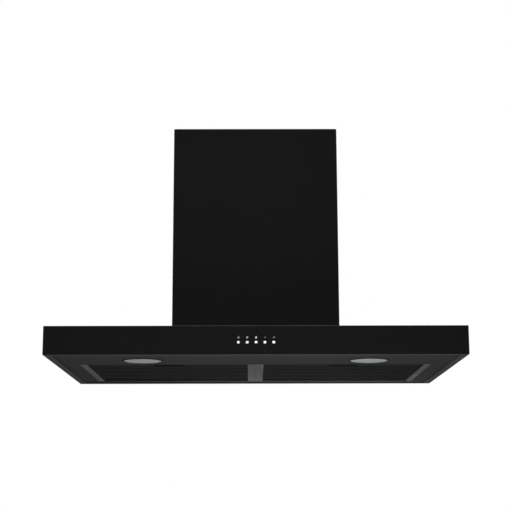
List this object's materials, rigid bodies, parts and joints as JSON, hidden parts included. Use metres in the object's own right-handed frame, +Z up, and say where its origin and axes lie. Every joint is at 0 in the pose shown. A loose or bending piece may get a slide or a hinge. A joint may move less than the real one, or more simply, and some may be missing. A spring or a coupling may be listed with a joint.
{
  "type": "island range hood",
  "caption": "Flat box island range hood with a telescopic chimney, round lamps, push buttons, baffle filters and a centrifugal blower.",
  "frame": {"origin": "middle of the canopy's bottom rim, the plane that it rests on off the ceiling", "axes": "+X to the right seen from the front, +Y from the front (button side) to the rear, +Z up to the ceiling"},
  "size_m": [0.9, 0.6008, 0.544],
  "materials": {
    "black_paint": "gloss black powder coat with a soft sheen",
    "underside_paint": "satin black paint",
    "filter_paint": "satin black coated baffles",
    "satin_aluminium": "satin, finely lined lengthwise",
    "galvanised_steel": "plain zinc-coated sheet",
    "bright_steel": "ground bright",
    "cast_aluminium": "cast, lightly rough",
    "lamp_bezel": "satin black",
    "frosted_lens": "frosted, unlit",
    "indicator_lens": "clear white light pipe",
    "button_white": "white, slightly satin",
    "black_plastic": "moulded, fine grain",
    "latch_plastic": "moulded, fine grain",
    "circuit_board_green": "solder-mask green"
  },
  "bodies": {
    "root": {"canopy_shell": "black_paint", "base_panel": "underside_paint", "rear_support_rail": "galvanised_steel", "front_catch_rail": "galvanised_steel", "switch_block": "black_plastic", "indicator_lens": "indicator_lens", "control_box": "galvanised_steel", "control_box_lid": "galvanised_steel", "circuit_board": "circuit_board_green", "lamp_driver": "black_plastic", "cable_gland": "black_plastic", "blower_box": "galvanised_steel", "scroll_front": "black_plastic", "scroll_rear": "black_plastic", "motor_body": "cast_aluminium", "motor_bracket": "galvanised_steel", "motor_capacitor": "satin_aluminium", "outlet_collar": "black_plastic", "damper_pin": "bright_steel", "lamp_left_bezel": "lamp_bezel", "lamp_left_lens": "frosted_lens", "lamp_left_body": "cast_aluminium", "lamp_right_bezel": "lamp_bezel", "lamp_right_lens": "frosted_lens", "lamp_right_body": "cast_aluminium", "lower_chimney_front": "black_paint", "lower_post_front_left": "galvanised_steel", "lower_post_front_right": "galvanised_steel", "lower_chimney_rear": "black_paint", "lower_post_rear_left": "galvanised_steel", "lower_post_rear_right": "galvanised_steel"},
    "chimney_upper": {"ceiling_plate": "galvanised_steel", "upper_chimney_front": "black_paint", "upper_post_front_left": "galvanised_steel", "upper_post_front_right": "galvanised_steel", "upper_chimney_rear": "black_paint", "upper_post_rear_left": "galvanised_steel", "upper_post_rear_right": "galvanised_steel"},
    "filter_left": {"filter_left_frame": "filter_paint", "filter_left_outer_rail": "satin_aluminium", "filter_left_inner_rail": "satin_aluminium", "filter_left_lower_baffles": "filter_paint", "filter_left_upper_baffles": "filter_paint"},
    "filter_right": {"filter_right_frame": "filter_paint", "filter_right_outer_rail": "satin_aluminium", "filter_right_inner_rail": "satin_aluminium", "filter_right_lower_baffles": "filter_paint", "filter_right_upper_baffles": "filter_paint"},
    "latch_left": {"filter_left_latch": "latch_plastic"},
    "latch_right": {"filter_right_latch": "latch_plastic"},
    "impeller": {"impeller": "black_plastic", "motor_shaft": "bright_steel"},
    "damper_left": {"damper_flap_left": "black_plastic"},
    "damper_right": {"damper_flap_right": "black_plastic"},
    "button_light": {"button_light": "button_white"},
    "button_off": {"button_off": "button_white"},
    "button_low": {"button_low": "button_white"},
    "button_medium": {"button_medium": "button_white"},
    "button_high": {"button_high": "button_white"}
  },
  "joints": [
    {"name": "button_light_press", "type": "slide", "parent": "root", "child": "button_light", "axis": [0, 1, 0], "range_m": [0, 0.0015], "stiffness_N_per_m": 400},
    {"name": "button_off_press", "type": "slide", "parent": "root", "child": "button_off", "axis": [0, 1, 0], "range_m": [0, 0.0015], "stiffness_N_per_m": 400},
    {"name": "button_low_press", "type": "slide", "parent": "root", "child": "button_low", "axis": [0, 1, 0], "range_m": [0, 0.0015], "stiffness_N_per_m": 400},
    {"name": "button_medium_press", "type": "slide", "parent": "root", "child": "button_medium", "axis": [0, 1, 0], "range_m": [0, 0.0015], "stiffness_N_per_m": 400},
    {"name": "button_high_press", "type": "slide", "parent": "root", "child": "button_high", "axis": [0, 1, 0], "range_m": [0, 0.0015], "stiffness_N_per_m": 400},
    {"name": "filter_left_tilt", "type": "hinge", "parent": "root", "child": "filter_left", "pos_m": [-0.1985, 0.2475, 0.0015], "axis": [1, 0, 0], "range_deg": [0, 75]},
    {"name": "filter_left_latch_slide", "type": "slide", "parent": "filter_left", "child": "latch_left", "axis": [0, 1, 0], "range_m": [0, 0.006], "stiffness_N_per_m": 600},
    {"name": "filter_right_tilt", "type": "hinge", "parent": "root", "child": "filter_right", "pos_m": [0.1985, 0.2475, 0.0015], "axis": [1, 0, 0], "range_deg": [0, 75]},
    {"name": "filter_right_latch_slide", "type": "slide", "parent": "filter_right", "child": "latch_right", "axis": [0, 1, 0], "range_m": [0, 0.006], "stiffness_N_per_m": 600},
    {"name": "chimney_extend", "type": "slide", "parent": "root", "child": "chimney_upper", "axis": [0, 0, 1], "range_m": [0, 0.36]},
    {"name": "impeller_spin", "type": "hinge", "parent": "root", "child": "impeller", "pos_m": [-0.075, 0, 0.1723], "axis": [0, -1, 0], "continuous": true},
    {"name": "damper_left_swing", "type": "hinge", "parent": "root", "child": "damper_left", "pos_m": [0, 0, 0.3175], "axis": [0, 1, 0], "range_deg": [0, 75]},
    {"name": "damper_right_swing", "type": "hinge", "parent": "root", "child": "damper_right", "pos_m": [0, 0, 0.3175], "axis": [0, -1, 0], "range_deg": [0, 75]}
  ]
}
